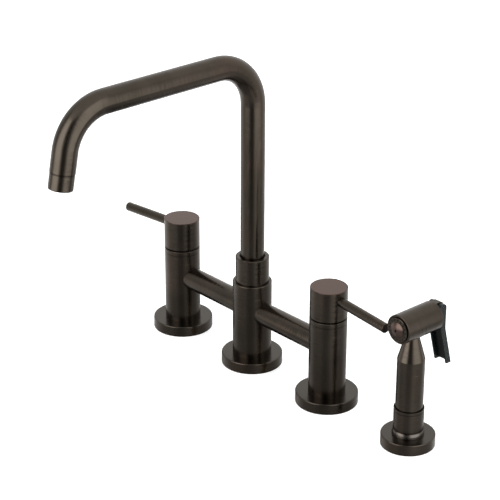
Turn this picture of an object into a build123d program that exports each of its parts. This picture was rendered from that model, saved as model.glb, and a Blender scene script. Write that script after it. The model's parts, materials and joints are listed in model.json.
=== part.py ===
from build123d import *
import math
import os

# A two handle bridge faucet for a kitchen sink, with a swivel spout and a side sprayer.
# Millimetres. The origin is on the deck's top face, under the centre column. +X runs along
# the bridge to the sprayer, -Y points at the user (the spout's way), and +Z is up.

# ---------------------------------------------------------------- stations on the deck
handle_pitch = 101.6          # centre column to each handle column: 4 in, so 8 in overall
sprayer_pitch = 203.2         # centre column to the sprayer: 8 in
deck_thickness = 30.0         # the deck that the washers clamp

# ---------------------------------------------------------------- clearances
thread_gap = 0.05             # radial, between a male and a female thread
braze_gap = 0.05              # radial, around a tube brazed or pressed into its socket
running_gap = 0.06            # radial, for a shaft that turns or slides in its bore
loose_gap = 0.35              # radial, between round parts that pass each other freely
seal_gap = 0.3                # end gap beside a flange that must not bind

# ---------------------------------------------------------------- flanges and gaskets
flange_radius = 28.7
flange_height = 10.15
sprayer_flange_radius = 24.05
sprayer_flange_height = 10.2
flange_edge = 0.8
flange_top_plate = 4.2        # metal left above the hollow underside
flange_rim = 6.6              # radial width of the rim that stands on the deck
flange_hole_gap = 0.6
gasket_width = 3.0
gasket_height = 1.8
gasket_gap = 0.1

# ---------------------------------------------------------------- handle columns
column_radius = 17.05
column_height = 74.35
column_edge = 0.4
cavity_radius = 10.6
cavity_depth = 48.0
inlet_bore = 6.8
shank_grip = 18.0             # how far a shank screws up into its column
thread_runout = 1.0
bonnet_radius = 15.0
bonnet_depth = 10.0           # from the column's top down to the nut's seat
bonnet_height = 4.5
bonnet_hex = 20.0             # across flats
bonnet_hex_height = 4.5
bonnet_bore = 6.9
cartridge_flange_radius = 13.3
cartridge_flange_height = 3.0

# ---------------------------------------------------------------- cartridges
cartridge_collar = 11.0       # length of the threaded collar under the flange
skirt_radius = 9.4
skirt_bore = 8.25
skirt_lift = 1.0              # the skirt's foot over the cavity floor
window_width = 10.0
window_height = 9.5
window_drop = 2.0             # from the collar down to a window's top
seat_seal_height = 3.2
seat_seal_bore = 5.6
disc_height = 3.0
port_radius = 1.9
port_circle = 4.6
port_spread = 38.0            # degrees between the two ports of a pair
stem_foot_height = 2.8
stem_waist = 3.5
stem_journal = 6.4
stem_neck = 5.0
spline_rise = 12.0            # the splined end over the column's top
spline_length = 14.0
spline_teeth = 20
spline_root = 3.55
spline_tip = 4.0

# ---------------------------------------------------------------- handles
cap_seam = 1.4                # the open seam between a column and its cap
cap_height = 28.4
cap_edge = 0.4
cap_wall = 2.4
cap_hollow = 3.5
cap_boss = 7.0
cap_boss_lift = 1.5
spline_end_gap = 1.2
lever_radius = 4.45
lever_drop = 8.4              # from the cap's top down to the lever's axis
lever_length = 76.1           # from the cap's axis to the lever's tip
lever_droop = 2.0             # degrees below level
lever_forward = 4.0           # degrees towards the user when the valve is shut
lever_shoulder = 9.5          # from the cap's axis to the lever's shoulder
lever_spigot = 3.0
lever_spigot_length = 5.0
lever_tip_edge = 0.6
grub_radius = 2.5
grub_rise = 7.5               # over the cap's lower face
grub_length = 8.0
grub_key = 2.5                # across flats
grub_key_depth = 2.5

# ---------------------------------------------------------------- bridge
bridge_height = 55.0
bridge_radius = 10.58
bridge_bore = 8.8
bridge_port = 8.3
bridge_socket_wall = 1.2      # metal left between a tube's end and the cavity behind it

# ---------------------------------------------------------------- centre column and collar
centre_radius = 18.25
centre_height = 74.25
centre_edge = 0.7
centre_bore = 10.0
centre_passage = 5.2
hub_shoulder_depth = 10.4     # from the centre column's top
hub_spigot_length = 8.0
collar_thread = 14.6
collar_thread_lift = 0.5
collar_radius = 15.65
collar_rise = 25.1
collar_edge = 0.6
collar_mouth_edge = 0.4
collar_seam = 0.3
collar_seam_depth = 1.0
collar_bore = 13.2
collar_lip = 3.6
collar_lip_bore = 11.7

# ---------------------------------------------------------------- spout
spout_radius = 11.1           # 7/8 in tube
spout_wall = 1.5
arm_height = 299.7
bend_radius = 42.15
spout_corner = 200.1          # from the riser's axis to the corner over the outlet
outlet_lean = 11.0            # degrees that the outlet leans towards the user
outlet_leg = 52.1             # from that corner to the end of the tube
hub_spigot = 10.4
hub_flange_height = 6.0
hub_bore = 7.5
hub_plug_height = 8.0
hub_end_gap = 0.6
thrust_washer_height = 2.0
o_ring_section = 1.0          # radius of a ring's round section
o_ring_squeeze = 0.03
o_ring_groove = 2.4
hub_ring_pitch = 3.2

# ---------------------------------------------------------------- aerator
aerator_radius = 10.8
aerator_length = 14.87
aerator_wall = 1.3
aerator_edge = 1.0
aerator_seam = 0.5
aerator_neck = 6.0
aerator_neck_bore = 8.0
aerator_shelf = 3.0           # from the tube's end to the shelf under the seal
aerator_recess = 1.6
aerator_seal_height = 1.3
aerator_seal_bore = 6.0
aerator_jet = 1.1
aerator_outer_circle = 6.4
aerator_outer_jets = 12
aerator_inner_circle = 3.2
aerator_inner_jets = 6

# ---------------------------------------------------------------- diverter
cage_gap = 0.1
cage_bore = 8.0
cage_foot = 8.0
cage_head = 4.0
cage_port = 6.4
cage_window = 8.5
shuttle_disc = 3.0
shuttle_stem = 2.6
shuttle_travel = 3.0

# ---------------------------------------------------------------- shanks, washers and nuts
shank_radius = 10.45          # 1/2 in pipe thread, over its crests
shank_bore = 6.2
shank_drop = 66.0             # below the deck's top face
supply_thread = 14.0
relief_depth = 1.4
relief_length = 2.5
hose_outlet_radius = 6.55     # 1/4 in pipe thread, over its crests
hose_outlet_bore = 4.3
hose_outlet_length = 11.0
washer_radius = 22.0
washer_height = 2.5
washer_gap = 0.4
nut_hex = 30.0                # across flats
nut_height = 9.0
nut_edge = 1.0

# ---------------------------------------------------------------- sprayer holder
holder_radius = 13.4
holder_top = 36.1
holder_bead_radius = 14.3     # the foot ring, at its widest
holder_bead_height = 5.2
holder_bead_edge = 0.7        # the ring's short upright edge over the flange
holder_bead_bulge = 0.17      # the ring's slope stands this far outside a straight cone
holder_sleeve_bore = 12.5
holder_rim_flare = 0.45
holder_ledge = 14.0
holder_bore = 10.0
holder_shank = 12.0
holder_shank_drop = 46.0
holder_nut_hex = 34.0
bushing_height = 6.0
bushing_bore = 9.5

# ---------------------------------------------------------------- sprayer grip and connector
grip_radius = 12.15
cone_drop = 11.05             # from the head's axis down to the cone's top
cone_height = 21.8
cone_top_radius = 6.1
grip_nose_length = 16.0
grip_bore = 8.0
grip_roof = 3.2               # from the bore's top up to the cone's foot
neck_radius = 5.5
neck_drop = 8.05              # from the head's axis down to the neck's top
neck_bore = 3.2
saddle_gap = 0.05
connector_flange = 8.8
connector_flange_height = 5.7
connector_spigot = 22.0
connector_bore = 4.0
connector_thread = 6.55       # 1/4 in pipe thread, over its crests
connector_thread_length = 12.0
connector_ring_lift = 14.0

# ---------------------------------------------------------------- sprayer head
head_radius = 13.1
head_height = 116.05
head_front = -17.6
head_back = 24.0
head_edge = 0.5
face_bore = 11.7
face_bore_depth = 7.6
face_radius = 10.9
face_stand = 1.3              # the spray face's flat rim in front of the housing
face_bevel = 0.4
face_boss = 7.4               # radius of the domed middle
face_boss_step = 0.4
face_crown = 1.8              # the dome's rise over that step
face_groove_depth = 2.5
face_chamber = 1.0
jet_radius = 0.5
outer_jets = 16
outer_jet_circle = 9.1
middle_jet = 0.7
waterway_bore = 5.0
valve_seat = 11.0
spring_pocket = 4.5
spring_pocket_depth = 7.5
lug_half_width = 3.6
pivot_back = 29.5
pivot_rise = 6.75             # over the head's axis
pivot_eye = 4.3
lug_rise = 5.3                # over the pin's axis
pivot_pin = 1.3

# ---------------------------------------------------------------- trigger and spray valve
trigger_half_width = 7.2
trigger_wall = 1.7
trigger_back = 33.8
trigger_depth = 5.6
trigger_web_drop = 6.3        # from the pin's axis down to the web's top
trigger_knee_drop = 19.8      # and to the knee
trigger_foot_drop = 55.5      # and to the foot
trigger_knee_round = 18.0
trigger_foot_back = 43.0
trigger_foot_depth = 5.4
trigger_foot_round = 1.6
trigger_scallop = 1.2
trigger_ear_gap = 0.3
valve_drop = 4.05             # from the head's axis down to the valve's
plunger_radius = 2.2
poppet_radius = 4.4
poppet_height = 2.6
button_radius = 4.0
button_length = 4.9
button_dome = 1.5
spring_radius = 3.3
spring_wire = 0.35
spring_turns = 5

# ---------------------------------------------------------------- places that follow from them
column_top = flange_height + column_height
cavity_floor = column_top - cavity_depth
shank_top = flange_height + shank_grip
socket_top = shank_top + thread_runout
shank_socket = shank_radius + thread_gap
bonnet_seat = column_top - bonnet_depth
cartridge_seat = bonnet_seat - cartridge_flange_height
skirt_top = cartridge_seat - cartridge_collar
skirt_bottom = cavity_floor + skirt_lift
fixed_disc_bottom = cavity_floor + seat_seal_height
moving_disc_bottom = fixed_disc_bottom + disc_height
stem_bottom = moving_disc_bottom + disc_height
stem_top = column_top + spline_rise
cap_bottom = column_top + cap_seam
cap_top = cap_bottom + cap_height
lever_height = cap_top - lever_drop

column_socket_floor = cavity_radius + bridge_socket_wall
centre_socket_floor = centre_bore + bridge_socket_wall

centre_top = flange_height + centre_height
hub_shoulder = centre_top - hub_shoulder_depth
hub_bore_bottom = hub_shoulder - hub_spigot_length
hub_flange_bottom = hub_shoulder + thrust_washer_height
riser_bottom = hub_flange_bottom + hub_flange_height
hub_spigot_bore = hub_spigot + running_gap
hub_flange = collar_bore - loose_gap
collar_shoulder = centre_top - collar_seam_depth
collar_top = centre_top + collar_rise
collar_lip_bottom = collar_top - collar_lip
spout_bore = spout_radius - spout_wall

shuttle_radius = cage_bore - loose_gap
cage_height = hub_bore_bottom - socket_top - thread_runout * 4
cage_bottom = hub_bore_bottom - cage_height
cage_foot_top = cage_bottom + cage_foot
cage_head_bottom = hub_bore_bottom - cage_head

washer_bottom = -deck_thickness - washer_height
grip_bottom = holder_ledge + bushing_height
nose_bottom = grip_bottom - grip_nose_length
nose_radius = bushing_bore - loose_gap
connector_flange_top = nose_bottom - seal_gap
connector_flange_bottom = connector_flange_top - connector_flange_height
cone_top = head_height - cone_drop
grip_top = cone_top - cone_height
grip_bore_top = grip_top - grip_roof
neck_top = head_height - neck_drop
plunger_height = head_height - valve_drop
pivot_height = head_height + pivot_rise
trigger_web_top = pivot_height - trigger_web_drop
trigger_knee = pivot_height - trigger_knee_drop
trigger_foot = pivot_height - trigger_foot_drop
trigger_web_front = trigger_back - trigger_wall
trigger_slot = lug_half_width + trigger_ear_gap
button_tip = trigger_web_front - seal_gap
button_front = button_tip - button_length

sides = (("left", -1), ("right", 1))

os.makedirs("parts", exist_ok=True)


def write(builder, label):
    """Name a finished piece and write it to its own file."""
    builder.part.label = label
    export_step(builder.part, f"parts/{label}.step")


def station(x, height=0.0):
    """Level plane on an upright axis, at a height over the deck."""
    return Plane((x, 0, height))


def turned(frame, outline, mode=Mode.ADD):
    """Turn an outline of (radius, height) points about the z axis of a plane."""
    with BuildSketch(Plane(frame.origin, x_dir=frame.x_dir, z_dir=-frame.y_dir)) as profile:
        with BuildLine():
            Polyline(*outline, close=True)
        make_face()
    revolve(profile.sketch, axis=Axis(frame.origin, frame.z_dir), mode=mode)


def ring(frame, bottom, top, outer, inner=0.0, mode=Mode.ADD):
    """Add or cut a round step between two heights over a plane, with a bore if one is given."""
    with BuildSketch(frame.offset(bottom)) as section:
        Circle(outer)
        if inner:
            Circle(inner, mode=Mode.SUBTRACT)
    extrude(section.sketch, amount=top - bottom, mode=mode)


def o_ring(frame, height, bore):
    """A sealing ring that just fills its bore."""
    centre = bore - o_ring_squeeze - o_ring_section
    with BuildSketch(Plane(frame.origin, x_dir=frame.x_dir, z_dir=-frame.y_dir)) as section:
        with Locations((centre, height)):
            Circle(o_ring_section)
    revolve(section.sketch, axis=Axis(frame.origin, frame.z_dir))


def o_ring_seat(frame, height, outer):
    """The groove for such a ring, cut in a spigot."""
    depth = 2 * o_ring_section
    ring(frame, height - o_ring_groove / 2, height + o_ring_groove / 2, outer + 1,
         outer - depth, mode=Mode.SUBTRACT)


# ================================================================ deck flanges and gaskets
def deck_flange(x, radius, height, shank):
    """A round flange: solid top, hollow underside, and a groove for its gasket."""
    hole = shank + flange_hole_gap
    hollow = radius - flange_rim
    roof = height - flange_top_plate
    groove = radius - flange_rim / 2
    half = gasket_width / 2 + gasket_gap
    with BuildPart() as flange:
        turned(station(x), [(hole, roof), (hollow, roof), (hollow, 0), (radius, 0),
                            (radius, height), (hole, height)])
        ring(station(x), 0, gasket_height, groove + half, groove - half, mode=Mode.SUBTRACT)
        rim = flange.edges().filter_by(GeomType.CIRCLE).group_by(Axis.Z)[-1].sort_by(
            SortBy.RADIUS)[-1]
        fillet(rim, flange_edge)
    return flange


def deck_gasket(x, radius):
    """The soft ring in a flange's groove, pressed flush with the deck."""
    groove = radius - flange_rim / 2
    with BuildPart() as gasket:
        ring(station(x), 0, gasket_height, groove + gasket_width / 2, groove - gasket_width / 2)
    return gasket


deck_stations = (
    ("left", -handle_pitch, flange_radius, flange_height, shank_radius),
    ("centre", 0.0, flange_radius, flange_height, shank_radius),
    ("right", handle_pitch, flange_radius, flange_height, shank_radius),
    ("sprayer", sprayer_pitch, sprayer_flange_radius, sprayer_flange_height, holder_shank),
)
for name, x, radius, height, shank in deck_stations:
    write(deck_flange(x, radius, height, shank), f"{name}_flange")
    write(deck_gasket(x, radius), f"{name}_gasket")

# ================================================================ shanks under the columns
for name, side in sides:
    foot = -shank_drop
    relief = foot + supply_thread
    with BuildPart() as shank:
        turned(station(side * handle_pitch), [
            (shank_bore, foot), (shank_radius, foot), (shank_radius, relief),
            (shank_radius - relief_depth, relief),
            (shank_radius - relief_depth, relief + relief_length),
            (shank_radius, relief + relief_length), (shank_radius, shank_top),
            (shank_bore, shank_top)])
    write(shank, f"{name}_shank")

with BuildPart() as centre_shank:
    foot = -shank_drop
    turned(station(0), [
        (hose_outlet_bore, foot), (hose_outlet_radius, foot),
        (hose_outlet_radius, foot + hose_outlet_length),
        (shank_radius, foot + hose_outlet_length), (shank_radius, shank_top),
        (hose_outlet_bore, shank_top)])
write(centre_shank, "centre_shank")

# ================================================================ washers and lock nuts
with BuildPart() as deck_washers:
    for x in (-handle_pitch, 0, handle_pitch):
        ring(station(x), washer_bottom, -deck_thickness, washer_radius, shank_radius + washer_gap)
write(deck_washers, "deck_washers")

with BuildPart() as lock_nuts:
    for x in (-handle_pitch, 0, handle_pitch):
        with BuildSketch(station(x, washer_bottom)):
            RegularPolygon(nut_hex / 2, 6, major_radius=False)
            Circle(shank_socket, mode=Mode.SUBTRACT)
        extrude(amount=-nut_height)
write(lock_nuts, "lock_nuts")

with BuildPart() as holder_washer:
    ring(station(sprayer_pitch), washer_bottom, -deck_thickness, washer_radius,
         holder_shank + washer_gap)
write(holder_washer, "holder_washer")

with BuildPart() as holder_nut:
    with BuildSketch(station(sprayer_pitch, washer_bottom)):
        RegularPolygon(holder_nut_hex / 2, 6, major_radius=False)
        Circle(holder_shank + thread_gap, mode=Mode.SUBTRACT)
    extrude(amount=-nut_height)
write(holder_nut, "holder_nut")


# ================================================================ handle columns
def bridge_socket(x, way, floor):
    """Cut a tube's socket, and the port behind it, in the wall of a column."""
    axis = Plane((x, 0, bridge_height), x_dir=(0, 1, 0), z_dir=(way, 0, 0))
    ring(axis, floor, floor + column_radius, bridge_radius + braze_gap, mode=Mode.SUBTRACT)
    ring(axis, 0, floor, bridge_port, mode=Mode.SUBTRACT)


for name, side in sides:
    x = side * handle_pitch
    with BuildPart() as valve_body:
        turned(station(x), [
            (shank_socket, flange_height), (column_radius, flange_height),
            (column_radius, column_top), (bonnet_radius, column_top),
            (bonnet_radius, bonnet_seat), (cartridge_flange_radius, bonnet_seat),
            (cartridge_flange_radius, cartridge_seat), (cavity_radius, cartridge_seat),
            (cavity_radius, cavity_floor), (inlet_bore, cavity_floor),
            (inlet_bore, socket_top), (shank_socket, socket_top)])
        bridge_socket(x, -side, column_socket_floor)
        rim = valve_body.edges().filter_by(GeomType.CIRCLE).group_by(Axis.Z)[-1].sort_by(
            SortBy.RADIUS)[-1]
        chamfer(rim, column_edge)
    write(valve_body, f"{name}_valve_body")

    with BuildPart() as bridge_tube:
        axis = Plane((0, 0, bridge_height), x_dir=(0, 1, 0), z_dir=(side, 0, 0))
        ring(axis, centre_socket_floor, handle_pitch - column_socket_floor, bridge_radius,
             bridge_bore)
    write(bridge_tube, f"{name}_bridge_tube")


# ================================================================ cartridges
def spline(frame, gap):
    """The splined end's outline: twenty teeth, or the broached hole around them."""
    steps = 2 * spline_teeth
    outline = []
    for step in range(steps):
        radius = (spline_tip if step % 2 else spline_root) + gap
        angle = 2 * math.pi * step / steps
        outline.append((radius * math.cos(angle), radius * math.sin(angle)))
    with BuildSketch(frame) as section:
        Polygon(*outline, align=None)
    return section.sketch


def disc_ports(height, turn):
    """Two opposite pairs of round ports through a ceramic disc."""
    for pair in (turn, turn + 180):
        for spread in (-port_spread / 2, port_spread / 2):
            with PolarLocations(port_circle, 1, start_angle=pair + spread):
                Hole(port_radius, height)


for name, side in sides:
    x = side * handle_pitch
    with BuildPart() as seat_seal:
        ring(station(x), cavity_floor, fixed_disc_bottom, skirt_bore - braze_gap, seat_seal_bore)
    write(seat_seal, f"{name}_seat_seal")

    for label, bottom, radius, turn in (
            ("fixed_disc", fixed_disc_bottom, skirt_bore - braze_gap, 0),
            ("moving_disc", moving_disc_bottom, skirt_bore - loose_gap, 90)):
        with BuildPart(station(x, bottom + disc_height)) as disc:
            ring(station(x), bottom, bottom + disc_height, radius)
            disc_ports(disc_height, turn)
        write(disc, f"{name}_{label}")

    with BuildPart() as housing:
        collar = cavity_radius - thread_gap
        head = cartridge_flange_radius - gasket_gap
        neck = stem_journal + running_gap
        turned(station(x), [
            (skirt_bore, skirt_bottom), (skirt_radius, skirt_bottom), (skirt_radius, skirt_top),
            (collar, skirt_top), (collar, cartridge_seat), (head, cartridge_seat),
            (head, bonnet_seat), (neck, bonnet_seat), (neck, skirt_top),
            (skirt_bore, skirt_top)])
        with BuildSketch(Plane((x, 0, 0), x_dir=(1, 0, 0), z_dir=(0, -1, 0))):
            with Locations((0, skirt_top - window_drop - window_height / 2)):
                Rectangle(window_width, window_height)
        extrude(amount=cavity_radius, both=True, mode=Mode.SUBTRACT)
    write(housing, f"{name}_cartridge_housing")

    with BuildPart() as stem:
        foot = skirt_bore - loose_gap
        foot_top = stem_bottom + stem_foot_height
        spline_bottom = stem_top - spline_length
        turned(station(x), [
            (0, stem_bottom), (foot, stem_bottom), (foot, foot_top), (stem_waist, foot_top),
            (stem_waist, skirt_top), (stem_journal, skirt_top), (stem_journal, bonnet_seat),
            (stem_neck, bonnet_seat), (stem_neck, spline_bottom), (0, spline_bottom)])
        extrude(spline(station(x, spline_bottom), 0), amount=spline_length)
    write(stem, f"{name}_stem")

    with BuildPart() as bonnet_nut:
        ring(station(x), bonnet_seat, bonnet_seat + bonnet_height, bonnet_radius - thread_gap)
        with BuildSketch(station(x, bonnet_seat + bonnet_height)):
            RegularPolygon(bonnet_hex / 2, 6, major_radius=False)
        extrude(amount=bonnet_hex_height)
        ring(station(x), bonnet_seat, column_top, bonnet_bore, mode=Mode.SUBTRACT)
    write(bonnet_nut, f"{name}_bonnet_nut")

# ================================================================ handles
for name, side in sides:
    x = side * handle_pitch
    forward = math.radians(lever_forward)
    droop = math.radians(lever_droop)
    lever_way = Vector(side * math.cos(forward) * math.cos(droop),
                       -math.sin(forward) * math.cos(droop), -math.sin(droop))
    lever_axis = Plane((x, 0, lever_height), x_dir=(0, 0, 1), z_dir=lever_way)
    grub_axis = Plane((x, 0, cap_bottom + grub_rise), x_dir=(1, 0, 0), z_dir=(0, 1, 0))
    spigot_start = lever_shoulder - lever_spigot_length

    with BuildPart() as cap:
        boss_bottom = cap_bottom + cap_boss_lift
        hollow_top = cap_bottom + cap_hollow
        hollow = column_radius - cap_wall
        turned(station(x), [
            (0, boss_bottom), (cap_boss, boss_bottom), (cap_boss, hollow_top),
            (hollow, hollow_top), (hollow, cap_bottom), (column_radius, cap_bottom),
            (column_radius, cap_top), (0, cap_top)])
        socket_length = stem_top + spline_end_gap - boss_bottom
        extrude(spline(station(x, boss_bottom), thread_gap), amount=socket_length,
                mode=Mode.SUBTRACT)
        ring(lever_axis, lever_shoulder, 2 * column_radius, lever_radius + braze_gap,
             mode=Mode.SUBTRACT)
        ring(lever_axis, spigot_start, lever_shoulder, lever_spigot + thread_gap,
             mode=Mode.SUBTRACT)
        ring(grub_axis, spline_root, 2 * column_radius, grub_radius + thread_gap,
             mode=Mode.SUBTRACT)
        outer_edges = cap.edges().filter_by(GeomType.CIRCLE).filter_by(
            lambda edge: abs(edge.radius - column_radius) < thread_gap)
        chamfer([outer_edges.sort_by(Axis.Z)[0], outer_edges.sort_by(Axis.Z)[-1]], cap_edge)
    write(cap, f"{name}_handle_cap")

    with BuildPart() as lever:
        ring(lever_axis, lever_shoulder, lever_length, lever_radius)
        tip = lever.edges().filter_by(GeomType.CIRCLE).sort_by(
            Axis(lever_axis.origin, lever_way))[-1]
        fillet(tip, lever_tip_edge)
        ring(lever_axis, spigot_start, lever_shoulder, lever_spigot)
    write(lever, f"{name}_lever")

    with BuildPart() as set_screw:
        start = spline_tip + gasket_gap
        ring(grub_axis, start, start + grub_length, grub_radius)
        with BuildSketch(grub_axis.offset(start + grub_length)):
            RegularPolygon(grub_key / 2, 6, major_radius=False)
        extrude(amount=-grub_key_depth, mode=Mode.SUBTRACT)
    write(set_screw, f"{name}_set_screw")

# ================================================================ centre column
with BuildPart() as centre_body:
    seam = collar_radius + collar_seam
    turned(station(0), [
        (shank_socket, flange_height), (centre_radius, flange_height),
        (centre_radius, centre_top), (seam, centre_top), (seam, collar_shoulder),
        (collar_thread, collar_shoulder), (collar_thread, hub_shoulder),
        (hub_spigot_bore, hub_shoulder), (hub_spigot_bore, hub_bore_bottom),
        (centre_bore, hub_bore_bottom), (centre_bore, cage_bottom),
        (centre_passage, cage_bottom), (centre_passage, socket_top),
        (shank_socket, socket_top)])
    for way in (-1, 1):
        bridge_socket(0, way, centre_socket_floor)
    rim = centre_body.edges().filter_by(GeomType.CIRCLE).group_by(Axis.Z)[-1].sort_by(
        SortBy.RADIUS)[-1]
    fillet(rim, centre_edge)
write(centre_body, "centre_body")

with BuildPart() as diverter_cage:
    cage_radius = centre_bore - cage_gap
    turned(station(0), [
        (centre_passage, cage_bottom), (cage_radius, cage_bottom),
        (cage_radius, hub_bore_bottom), (cage_port, hub_bore_bottom),
        (cage_port, cage_head_bottom), (cage_bore, cage_head_bottom),
        (cage_bore, cage_foot_top), (centre_passage, cage_foot_top)])
    window_height_cage = cage_head_bottom - cage_foot_top
    for upright in (Plane.XZ, Plane.YZ):
        with BuildSketch(upright) as opening:
            with Locations((0, (cage_head_bottom + cage_foot_top) / 2)):
                Rectangle(cage_window, window_height_cage - 2)
        extrude(opening.sketch, amount=centre_radius, both=True, mode=Mode.SUBTRACT)
write(diverter_cage, "diverter_cage")

with BuildPart() as diverter_shuttle:
    top = cage_head_bottom - shuttle_travel - gasket_gap
    turned(station(0), [
        (0, cage_foot_top), (shuttle_radius, cage_foot_top),
        (shuttle_radius, cage_foot_top + shuttle_disc),
        (shuttle_stem, cage_foot_top + shuttle_disc), (shuttle_stem, top - shuttle_disc),
        (shuttle_radius, top - shuttle_disc), (shuttle_radius, top), (0, top)])
write(diverter_shuttle, "diverter_shuttle")

# ================================================================ collar and swivel hub
with BuildPart() as spout_collar:
    skirt = collar_thread - thread_gap
    skirt_foot = hub_shoulder + collar_thread_lift
    turned(station(0), [
        (collar_bore, skirt_foot), (skirt, skirt_foot), (skirt, collar_shoulder),
        (collar_radius, collar_shoulder), (collar_radius, collar_top),
        (collar_lip_bore, collar_top), (collar_lip_bore, collar_lip_bottom),
        (collar_bore, collar_lip_bottom)])
    mouth = spout_collar.edges().filter_by(GeomType.CIRCLE).group_by(Axis.Z)[-1].sort_by(
        SortBy.RADIUS)
    chamfer(mouth[-1], collar_edge)
    chamfer(mouth[0], collar_mouth_edge)
write(spout_collar, "spout_collar")

with BuildPart() as spout_bearing:
    ring(station(0), riser_bottom + seal_gap, collar_lip_bottom, collar_bore - braze_gap,
         spout_radius + running_gap)
write(spout_bearing, "spout_bearing")

with BuildPart() as thrust_washer:
    ring(station(0), hub_shoulder, hub_flange_bottom, hub_flange, hub_spigot + loose_gap)
write(thrust_washer, "thrust_washer")

hub_ring_middle = (hub_bore_bottom + hub_shoulder) / 2
hub_rings = (hub_ring_middle - hub_ring_pitch / 2, hub_ring_middle + hub_ring_pitch / 2)
with BuildPart() as spout_hub:
    plug = spout_bore - braze_gap
    plug_top = riser_bottom + hub_plug_height
    hub_foot = hub_bore_bottom + hub_end_gap
    turned(station(0), [
        (hub_bore, hub_foot), (hub_spigot, hub_foot), (hub_spigot, hub_flange_bottom),
        (hub_flange, hub_flange_bottom), (hub_flange, riser_bottom), (plug, riser_bottom),
        (plug, plug_top), (hub_bore, plug_top)])
    for height in hub_rings:
        o_ring_seat(station(0), height, hub_spigot)
write(spout_hub, "spout_hub")

with BuildPart() as hub_o_rings:
    for height in hub_rings:
        o_ring(station(0), height, hub_spigot_bore)
write(hub_o_rings, "hub_o_rings")

# ================================================================ spout tube
lean = math.radians(outlet_lean)
outlet_way = Vector(0, -math.sin(lean), -math.cos(lean))
outlet_corner = Vector(0, -spout_corner, arm_height)
tube_end = outlet_corner + outlet_way * outlet_leg

with BuildPart() as spout_tube:
    with BuildLine() as route:
        FilletPolyline((0, 0, riser_bottom), (0, 0, arm_height), outlet_corner, tube_end,
                       radius=bend_radius)
    with BuildSketch(station(0, riser_bottom)):
        Circle(spout_radius)
        Circle(spout_bore, mode=Mode.SUBTRACT)
    sweep(path=route.wire())
write(spout_tube, "spout_tube")

# ================================================================ aerator
outlet = Plane(tube_end, x_dir=(1, 0, 0), z_dir=outlet_way)
insert_bore = aerator_radius - aerator_wall
insert_top = aerator_shelf + aerator_seal_height
insert_foot = aerator_length - aerator_recess

with BuildPart() as aerator_housing:
    neck = spout_bore - thread_gap
    turned(outlet, [
        (aerator_neck_bore, -aerator_neck), (neck, -aerator_neck), (neck, aerator_seam),
        (aerator_radius, aerator_seam), (aerator_radius, aerator_length),
        (insert_bore, aerator_length), (insert_bore, aerator_shelf),
        (aerator_neck_bore, aerator_shelf)])
    lip = aerator_housing.edges().filter_by(GeomType.CIRCLE).sort_by(
        Axis(outlet.origin, outlet_way))[-2:].sort_by(SortBy.RADIUS)[-1]
    fillet(lip, aerator_edge)
write(aerator_housing, "aerator_housing")

with BuildPart() as aerator_seal:
    ring(outlet, aerator_shelf, insert_top, insert_bore - braze_gap, aerator_seal_bore)
write(aerator_seal, "aerator_seal")

with BuildPart() as aerator_insert:
    ring(outlet, insert_top, insert_foot, insert_bore - braze_gap)
    with BuildSketch(outlet.offset(insert_foot)):
        with PolarLocations(aerator_outer_circle, aerator_outer_jets):
            Circle(aerator_jet)
        with PolarLocations(aerator_inner_circle, aerator_inner_jets):
            Circle(aerator_jet)
    extrude(amount=-aerator_length, mode=Mode.SUBTRACT)
write(aerator_insert, "aerator_insert")

# ================================================================ sprayer holder
sprayer = station(sprayer_pitch)
bead_top = sprayer_flange_height + holder_bead_height
with BuildPart() as sprayer_holder:
    foot = -holder_shank_drop
    turned(sprayer, [
        (holder_bore, foot), (holder_shank, foot), (holder_shank, sprayer_flange_height),
        (holder_radius, sprayer_flange_height), (holder_radius, holder_top),
        (holder_sleeve_bore + holder_rim_flare, holder_top),
        (holder_sleeve_bore, holder_top - 2 * holder_rim_flare),
        (holder_sleeve_bore, holder_ledge), (holder_bore, holder_ledge)])
    with BuildSketch(Plane(sprayer.origin, x_dir=(1, 0, 0), z_dir=(0, -1, 0))):
        with BuildLine():
            edge_top = sprayer_flange_height + holder_bead_edge
            slope_middle = (holder_radius + holder_bead_radius) / 2 + holder_bead_bulge
            bead = ThreePointArc((holder_bead_radius, edge_top),
                                 (slope_middle, (edge_top + bead_top) / 2),
                                 (holder_radius, bead_top))
            Polyline(bead @ 1, (holder_radius, sprayer_flange_height),
                     (holder_bead_radius, sprayer_flange_height), bead @ 0)
        make_face()
    revolve(axis=Axis(sprayer.origin, (0, 0, 1)))
write(sprayer_holder, "sprayer_holder")

with BuildPart() as holder_bushing:
    ring(sprayer, holder_ledge, grip_bottom, holder_sleeve_bore - braze_gap, bushing_bore)
write(holder_bushing, "holder_bushing")

# ================================================================ hose connector
ring_height = connector_flange_top + connector_ring_lift
with BuildPart() as hose_connector:
    spigot = grip_bore - running_gap
    thread_foot = connector_flange_bottom - connector_thread_length
    spigot_top = connector_flange_top + connector_spigot
    turned(sprayer, [
        (connector_bore, thread_foot), (connector_thread, thread_foot),
        (connector_thread, connector_flange_bottom), (connector_flange, connector_flange_bottom),
        (connector_flange, connector_flange_top), (spigot, connector_flange_top),
        (spigot, spigot_top), (connector_bore, spigot_top)])
    o_ring_seat(sprayer, ring_height, spigot)
write(hose_connector, "hose_connector")

with BuildPart() as connector_o_ring:
    o_ring(sprayer, ring_height, grip_bore)
write(connector_o_ring, "connector_o_ring")

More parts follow.
